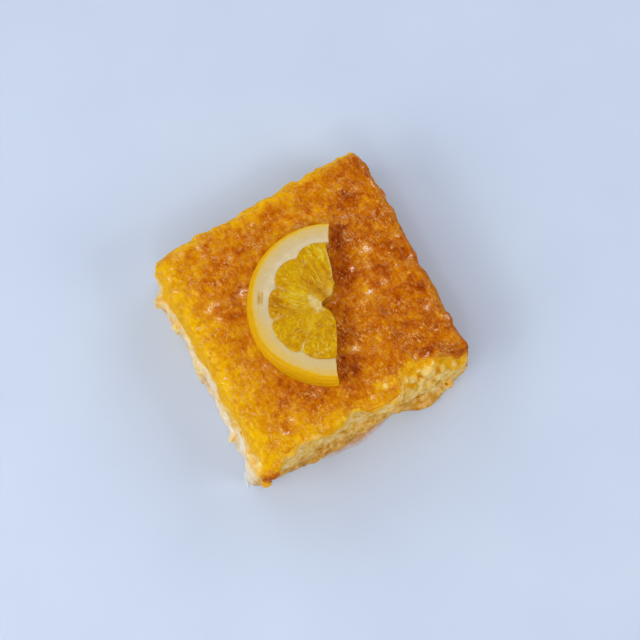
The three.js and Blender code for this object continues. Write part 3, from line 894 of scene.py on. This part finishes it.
def peel_finish():
    """Pale fibrous pith that turns to yellow peel with pores at the rim, and the rind's steep side painted a
    brighter yellow as light.
    """
    made = Finish(
        "orange_peel_and_pith",
        IOR=1.42,
        Specular_Tint=SYRUP_GLOSS,
        Subsurface_Weight=0.5,
        Subsurface_Radius=(1.0, 0.8, 0.4),
        Subsurface_Scale=2.0 * MM,
        Coat_Roughness=0.15,
    )
    peel = made.painted("peel")
    blotches = made.noise(3.0, 3.0, 0.6)
    fibres = made.noise(0.9, 3.0, 0.6)
    clouds = made.mask(0.35, 0.65, 4.5)
    depth = peel + (blotches - 0.5) * 0.22 + (fibres - 0.5) * 0.16
    pith = made.between(peel, 0.5, 0.2)
    skin = made.ramp(depth, PITH_TONES)
    skin = made.blend(skin, PITH_CLOUD, clouds * pith * 0.45)
    skin = made.blend(skin, JUICE_STAIN, made.painted("stained"))
    skin = made.blend(skin, SLIT_BROWN, made.painted("slit_rim") * 0.75)
    # Painted light: the rind's steep side painted a brighter yellow
    skin = made.blend(skin, LIT_RIND_SIDE, made.painted("wall") * 0.8)
    skin = made.blend(skin, PITH_FIBRE, made.between(fibres, 0.5, 0.75) * pith * 0.5)
    made.give(made.shader.inputs["Base Color"], skin)
    smoother = made.between(peel, 0.5, 0.9, 0.42, 0.34)
    made.give(made.shader.inputs["Roughness"], smoother + (fibres - 0.5) * 0.1)
    pores = made.cells(1.1, "SMOOTH_F1")
    made.bump(peel * pores + (1.0 - peel) * fibres * 0.5, 0.2, 0.7)
    return made.material


def flesh_finish():
    """Wet juice sacs from amber to yellow, with painted glints, and pale membranes and core."""
    made = Finish(
        "orange_flesh",
        IOR=1.4,
        Specular_Tint=SYRUP_GLOSS,
        Subsurface_Weight=0.5,
        Subsurface_Radius=(1.0, 0.75, 0.15),
        Subsurface_Scale=2.0 * MM,
    )
    sac = made.painted("sac")
    mottle = made.noise(4.0, 3.0, 0.6)
    tone = sac * 0.55 + mottle * 0.75 - 0.12
    # Painted highlights: glints on the sacs blended in as a light colour
    sacs = made.blend(made.ramp(tone, FLESH_COLOURS), LIT_SAC, made.painted("glint") * 0.75)
    membrane = made.ramp(made.noise(1.6, 3.0, 0.6), MEMBRANE_TONES)
    pale = made.painted("pale")
    made.give(made.shader.inputs["Base Color"], made.blend(sacs, membrane, pale))
    made.give(made.shader.inputs["Roughness"], 0.16 + pale * 0.25)
    made.bump(made.noise(0.9), 0.3)
    return made.material


def peel_piece():
    """Peel and pith in one, hollowed where the flesh lies in it."""
    mesh = fine_copy("orange_half_slice", SLICE_GRAIN)
    smooth_skin(mesh, 1)
    points = points_of(mesh)
    local = in_slice_frame(points)
    radius = np.linalg.norm(local, axis=-1)
    height = points[:, 2] - SLICE_LOW[2]
    upper = ease((height - 3.5) / 1.5)
    spread = 0.5 - 0.4 * ease((-local[:, 1] - 14.0) / 14.0)
    fuller = spread * ease((radius - 30.0) / 2.0) / np.maximum(radius, 1.0)
    inside = flesh_reach(local) - 0.2 - radius
    hollow = ease(inside / 0.7)
    solid_edge = np.interp(local[:, 1], SOLID_EDGE_Y, SOLID_EDGE_X)
    cut_face = ease((local[:, 0] - solid_edge + 1.6) / 0.8) * ease(inside / 1.0)
    local[:, 0] -= (0.8 + np.clip(solid_edge - cut_edge(local[:, 1]), -0.5, 3.0)) * cut_face
    local *= 1.0 + fuller[:, None]
    off_slit = local - SLIT
    outward = SLIT / np.linalg.norm(SLIT)
    across = off_slit @ outward
    along = off_slit @ np.array([-outward[1], outward[0]])
    slit = np.exp(-((across / 0.75) ** 2) - (along / 2.3) ** 4)
    slit_rim = np.exp(-(((np.abs(across) - 0.7) / 0.35) ** 2) - (along / 2.5) ** 4)
    rind = np.interp(angle_of(local), RIND_ANGLES, RIND_RADII)
    low_left = ease((-local[:, 1] + 6.0) / 18.0)
    ripe = 0.86 + 0.42 * (radius - rind) + 0.12 * (noise(points, 1.6, 81) - 0.5)
    creamy = 0.12 + 0.2 * low_left + 0.06 * np.maximum(radius - 26.0, 0.0)
    peel = np.clip(np.maximum(ripe, creamy), 0.0, 1.0)
    zest = ease((peel - 0.6) / 0.3)
    rough = 0.25 * (puffs(points, 2.6, 82) - 0.4) * (1.0 - zest) + 0.12 * (noise(points, 1.1, 83) - 0.5)
    bevel = (0.9 + 1.1 * low_left) * np.clip((radius - rind) / 2.4, 0.0, 1.0) ** 2
    sunk = 1.6 * hollow + (1.0 - hollow) * (0.8 * slit - rough) + bevel
    placed = to_place(local, height - upper * sunk)
    stained = np.clip(ease(inside / 1.2 + 0.6) + 0.6 * slit, 0.0, 1.0)
    set_points(mesh, placed)
    paint(mesh, "peel", peel)
    paint(mesh, "stained", stained)
    paint(mesh, "slit_rim", slit_rim)
    # Painted light: where the rind's side stands steep, for a brighter yellow
    paint(mesh, "wall", ease((0.55 - normals_of(mesh)[:, 2]) / 0.4) * zest)
    finished_piece("orange_peel", mesh, peel_finish(), "orange_half_slice")


def flesh_piece():
    """The flesh: juice sacs from the pith to the core, parted by thin membranes, cut off straight."""
    mesh = new_mesh("orange_flesh", bmesh.ops.create_grid, x_segments=150, y_segments=226, size=0.5)
    unit = points_of(mesh) * MM
    across = -FLESH_WIDTH + (FLESH_WIDTH + FLESH_SKIRT) * (unit[:, 0] + 0.5)
    y = FLESH_START + FLESH_LENGTH * (unit[:, 1] + 0.5)
    drop = np.maximum(across, 0.0)
    x = cut_edge(y) + np.minimum(across, 0.0) + 0.15 * (1.0 - np.exp(-drop / 0.3))
    local = np.stack([x, y], -1)
    seen = np.stack([x, y, drop], -1)
    from_core = local - CORE
    distance = np.linalg.norm(from_core, axis=-1)
    angle = np.degrees(np.arctan2(from_core[:, 1], from_core[:, 0])) % 360.0
    inside = flesh_reach(local) - np.linalg.norm(local, axis=-1)
    wander = 0.9 * (noise(seen, 3.5, 85) - 0.5)
    to_wall = np.full(len(x), FAR)
    wall = np.zeros(len(x))
    for degrees, strength in MEMBRANES.items():
        off = np.radians(np.abs(angle - degrees))
        gap = np.where(off < 1.2, np.abs(distance * np.sin(np.minimum(off, 1.5)) + wander), FAR)
        shown = strength * (0.2 + 0.8 * ease((distance - 15.0 + 4.0 * strength) / 3.0))
        wall = np.maximum(wall, shown * fade(gap, MEMBRANE_WIDTH))
        to_wall = np.minimum(to_wall, gap + 1.2 * (1.0 - strength))
    drift = 1.3 * jitter(seen, 3.0, 86)
    sac_length = 1.5 + 0.6 * ease((y + 3.0) / 6.0)
    flow = np.stack([np.radians(angle) * 13.0, distance / sac_length, drop / 2.0], -1) + drift
    away, number = nearest_spot(flow, 1.0, 91)
    sacs = np.clip(1.0 - 1.3 * away, 0.0, 1.0) * (0.7 + 0.3 * number)
    sacs = 0.45 + (sacs - 0.45) * (0.25 + 0.75 * ease((distance - 3.0) / 8.0))
    small = puffs(flow * (1.6, 1.6, 1.4), 1.0, 92)
    fold_along, fold_across = rotated(x, y, -FOLD_TURN)
    folds = np.stack([fold_along / 1.3, -fold_across / 6.0, drop / 3.0], -1) + drift * 0.6
    wrinkles = 1.3 * puffs(folds, 1.0, 93) - 0.15
    upper_end = ease((x + 4.6 + 0.5625 * (y - 4.6)) / 1.6) * ease((y - 3.0) / 3.0)
    # In the top segment the sacs follow its folds in height and in tone; the darker tone in their creases is
    # painted shade
    sacs = sacs + (wrinkles - sacs) * upper_end
    # Painted glints: pale specks in a band of glare near the core, and on the ridges of the top segment's
    # folds
    glint_band = near(local, (-11.0, 1.6), (6.0, 3.2)) + 0.4 * near(local, (-3.0, 9.6), (5.5, 2.6))
    speck_away, speck = nearest_spot(flow * (1.3, 0.9, 1.0), 1.0, 94)
    lit_specks = (speck > 0.75) * 0.4 + (speck < 0.65) * 0.85 * np.clip(glint_band, 0.0, 1.0)
    lit_folds = 0.7 * ease((wrinkles - 0.8) / 0.25) * upper_end * noise(seen, 2.0, 95)
    glint = np.maximum(ease((0.5 - speck_away) / 0.25) * lit_specks, lit_folds)
    # Patches of the flesh's own tone and of painted shade, added to the sacs' tone
    tones = np.zeros(len(x))
    for spot_x, spot_y, reach, amount in FLESH_TONES_AND_SHADE:
        tones += 1.5 * amount * near(local, (spot_x, spot_y), (reach, reach))
    edge = np.minimum(to_wall * 1.2, np.maximum(inside, 0.0))
    dome = 1.0 - (1.0 - np.clip(edge / 2.0, 0.0, 1.0)) ** 2
    core_along, core_across = rotated(from_core[:, 0], from_core[:, 1], -CORE_TURN)
    ragged = 0.9 * (noise(seen, 1.0, 89) - 0.5)
    to_core = np.hypot(core_along / CORE_REACH[0], core_across / CORE_REACH[1])
    core = 1.0 - ease((to_core - 0.6 + ragged) / 0.9)
    rise = (0.55 + 0.6 * upper_end) * (sacs - 0.4) + 0.3 * (small - 0.4) + 0.35 * glint
    relief = 0.5 * dome + dome * rise * (1.0 - core) + 0.35 * core
    dive = np.maximum(-inside, 0.0) * 2.0
    height = FLESH_HEIGHT + relief * np.exp(-drop) - np.minimum(dive, 1.8) - drop
    local[:, 0] += (0.4 * (sacs - 0.5)) * np.minimum(drop, 1.0)
    set_points(mesh, to_place(local, height))
    skin = fade(across, 0.4) * ease((y - 9.0) / 3.0) * ease((23.0 - y) / 2.0)
    lobe = near(local, (0.6, 4.2), (1.6, 1.6))
    paint(mesh, "sac", 0.6 * sacs + 0.4 * small + tones)
    paint(mesh, "glint", glint * dome)
    paint(mesh, "pale", np.clip(np.maximum.reduce([core, wall, 0.8 * skin, 0.5 * lobe]), 0.0, 1.0))
    hidden = np.flatnonzero((inside < -1.0) | (height < 0.15))

    def trimmed(shape):
        shape.verts.ensure_lookup_table()
        bmesh.ops.delete(shape, geom=[shape.verts[int(index)] for index in hidden], context="VERTS")

    reshape(mesh, trimmed)
    piece = finished_piece("orange_flesh", mesh, flesh_finish(), "orange_half_slice")
    thick = piece.modifiers.new("thickness", "SOLIDIFY")
    thick.thickness = FLESH_SKIN * MM
    thick.offset = -1.0


# The syrup that has run out at the cake's foot

FILM_EDGE_X = (-27.0, -22.0, -16.0, -10.0, -5.0, 0.1, 4.5, 9.0)
FILM_EDGE_Y = (-47.2, -49.2, -50.4, -51.0, -50.8, -50.0, -48.8, -47.2)
BEAD_SPOT = np.array([-55.1, -39.4, 0.0])
BEAD_REACH = (3.4, 1.1, 1.0)
BEAD_TURN = math.radians(62.0)
FILM_WIDTH = 4.5
FILM_INNER = ((0.3, 214, 160, 92), (0.7, 232, 188, 140))
FILM_OUTER = ((0.3, 232, 206, 198), (0.7, 242, 226, 222))
BEAD_HIGHLIGHT = ((0.3, 226, 232, 228), (0.7, 252, 253, 250))


def syrup_finish():
    """Clear syrup tinted by the cake, seen through at its edge; the bead's colour is a painted white
    highlight.
    """
    made = Finish(
        "clear_syrup",
        IOR=1.46,
        Specular_Tint=(1.0, 0.95, 0.9, 1.0),
        Subsurface_Weight=0.3,
        Subsurface_Radius=(1.0, 0.8, 0.6),
        Subsurface_Scale=1.0 * MM,
    )
    swirl = made.noise(2.5)
    depth = made.painted("depth")
    # pale: the bead's painted white highlight colour
    inner, outer, pale = (made.ramp(swirl, tones) for tones in (FILM_INNER, FILM_OUTER, BEAD_HIGHLIGHT))
    tint = made.blend(outer, inner, made.between(depth, 0.4, 0.9))
    made.give(made.shader.inputs["Base Color"], made.blend(tint, pale, made.painted("clear")))
    made.give(made.shader.inputs["Roughness"], 0.1 + swirl * 0.1)
    made.give(made.shader.inputs["Alpha"], depth * (0.8 + swirl * 0.3))
    return made.material


def syrup_pieces():
    """A thin film along the front foot and a clear bead beside the left one."""
    material = syrup_finish()
    film = new_mesh("syrup_film", bmesh.ops.create_grid, x_segments=120, y_segments=24, size=0.5)
    unit = points_of(film) * MM
    x = np.interp(unit[:, 0], (-0.5, 0.5), (FILM_EDGE_X[0], FILM_EDGE_X[-1]))
    out = unit[:, 1] + 0.5
    wander = 0.8 * (noise(np.stack([x, out, out], -1), 3.0, 101) - 0.5)
    y = np.interp(x, FILM_EDGE_X, FILM_EDGE_Y) - wander + (1.0 - out) * FILM_WIDTH
    ends = ease((x - FILM_EDGE_X[0]) / 3.0) * ease((FILM_EDGE_X[-1] - x) / 3.0)
    height = 0.1 + 0.6 * ends * np.sqrt(np.clip(1.0 - out**2, 0.0, 1.0))
    set_points(film, np.stack([x, y, height], -1))
    paint(film, "clear", np.zeros(len(x)))
    paint(film, "depth", (0.46 + 0.45 * ease((1.0 - out) / 0.6)) * ends)
    finished_piece("syrup_film", film, material)
    bead = new_mesh("syrup_bead", bmesh.ops.create_icosphere, subdivisions=5, radius=1.0)
    ball = points_of(bead) * MM
    uneven = 0.7 + 0.6 * noise(ball, 0.9, 102)
    along, across, up = (ball * uneven[:, None] * BEAD_REACH).T
    placed = np.stack([*rotated(along, across, BEAD_TURN), np.maximum(up, 0.05)], -1)
    set_points(bead, placed + BEAD_SPOT)
    # The bead takes the painted white highlight colour
    paint(bead, "clear", np.ones(len(ball)))
    paint(bead, "depth", 0.7 + 0.5 * noise(ball, 0.5, 103))
    finished_piece("syrup_bead", bead, material)


# The room: a pale floor, soft lights and the photograph's camera

FLOOR_TONES = ((0.3, 200, 211, 231), (0.7, 203, 215, 233))
FLOOR_SIZE = 2.0
PANE = (0.05, 0.05)
SQUARE_WINDOW = (0.5, 0.5)
WIDE_WINDOW = (0.8, 0.5)
WORLD_LIGHT = 0.2


def floor():
    mesh = new_mesh("floor", bmesh.ops.create_grid, x_segments=1, y_segments=1, size=FLOOR_SIZE)
    piece = bpy.data.objects.new("floor", mesh)
    bpy.context.scene.collection.objects.link(piece)
    made = Finish("pale_floor", Roughness=0.45, IOR=1.45)
    made.give(made.shader.inputs["Base Color"], made.ramp(made.noise(60.0), FLOOR_TONES))
    mesh.materials.append(made.material)


def soft_light(name, azimuth, elevation, distance, size, power, colour):
    """A square soft light that shines at the cake from a side: azimuth 0 is the +X side, in degrees."""
    a, e = math.radians(azimuth), math.radians(elevation)
    out = Vector((math.cos(a) * math.cos(e), math.sin(a) * math.cos(e), math.sin(e)))
    data = bpy.data.lights.new(name, "AREA")
    data.shape = "RECTANGLE"
    data.size, data.size_y = size
    data.energy = power
    data.color = colour
    light = bpy.data.objects.new(name, data)
    light.location = (AIM + out * distance) * MM
    light.rotation_euler = out.to_track_quat("Z", "Y").to_euler()
    bpy.context.scene.collection.objects.link(light)


DAYLIGHT = (0.97, 0.98, 1.0)
SKYLIGHT = (0.91, 0.94, 1.0)


def room():
    floor()
    world = bpy.data.worlds.new("room")
    world.use_nodes = True
    background = world.node_tree.nodes["Background"]
    background.inputs["Color"].default_value = (*SKYLIGHT, 1.0)
    background.inputs["Strength"].default_value = WORLD_LIGHT
    bpy.context.scene.world = world
    soft_light("window", 178.0, 40.0, 900.0, WIDE_WINDOW, 3.5, DAYLIGHT)
    soft_light("second_window", -51.0, 38.0, 1000.0, SQUARE_WINDOW, 2.35, DAYLIGHT)
    soft_light("ceiling", 232.0, 62.0, 1100.0, SQUARE_WINDOW, 2.3, DAYLIGHT)
    soft_light("right_wall", 20.0, 34.0, 1000.0, WIDE_WINDOW, 2.6, SKYLIGHT)
    soft_light("far_wall", 100.0, 34.0, 1000.0, WIDE_WINDOW, 2.5, SKYLIGHT)
    soft_light("bright_pane", 180.0, 44.0, 900.0, PANE, 0.35, DAYLIGHT)
    soft_light("second_pane", -48.0, 46.0, 900.0, PANE, 0.3, DAYLIGHT)
    soft_light("high_pane", 240.0, 55.0, 900.0, PANE, 0.3, DAYLIGHT)


def camera():
    data = bpy.data.cameras.new("photo_camera")
    data.lens = CAMERA_LENS
    data.sensor_width = CAMERA_SENSOR
    data.clip_start = CAMERA_CLIP * MM
    back = Vector((
        math.sin(CAMERA_AZIMUTH) * math.cos(CAMERA_ELEVATION),
        -math.cos(CAMERA_AZIMUTH) * math.cos(CAMERA_ELEVATION),
        math.sin(CAMERA_ELEVATION),
    ))
    eye = bpy.data.objects.new("photo_camera", data)
    eye.location = (AIM + back * CAMERA_DISTANCE) * MM
    eye.rotation_euler = back.to_track_quat("Z", "Y").to_euler()
    bpy.context.scene.collection.objects.link(eye)
    bpy.context.scene.camera = eye


cake_piece()
peel_piece()
flesh_piece()
syrup_pieces()
room()
camera()
bpy.context.scene.view_settings.view_transform = "Standard"
